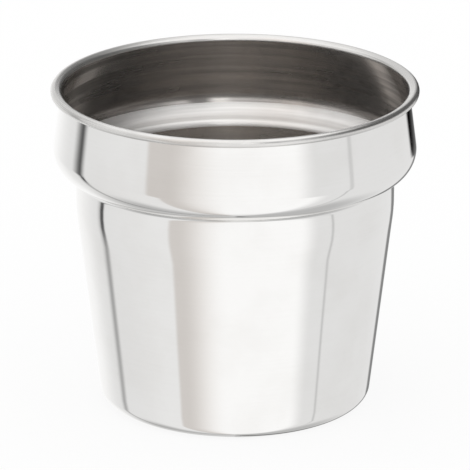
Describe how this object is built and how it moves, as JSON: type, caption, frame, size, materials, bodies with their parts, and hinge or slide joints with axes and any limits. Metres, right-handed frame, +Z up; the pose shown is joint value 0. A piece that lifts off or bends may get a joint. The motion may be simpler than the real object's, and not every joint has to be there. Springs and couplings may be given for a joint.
{
  "type": "soup kettle inset pot",
  "caption": "Round, tapered steel pot with a rolled rim, a deep collar and a rounded shoulder by which it hangs in the opening of a soup kettle or steam table to keep soup hot.",
  "frame": {"origin": "middle of the underside of the base", "axes": "+Z up along the pot's axis, out of its mouth; the pot is the same all round, so +X and +Y are free"},
  "size_m": [0.236, 0.236, 0.21],
  "materials": {
    "steel": "mirror polished outside, satin brushed round inside"
  },
  "bodies": {
    "root": {"inset_pot": "steel"}
  },
  "joints": []
}
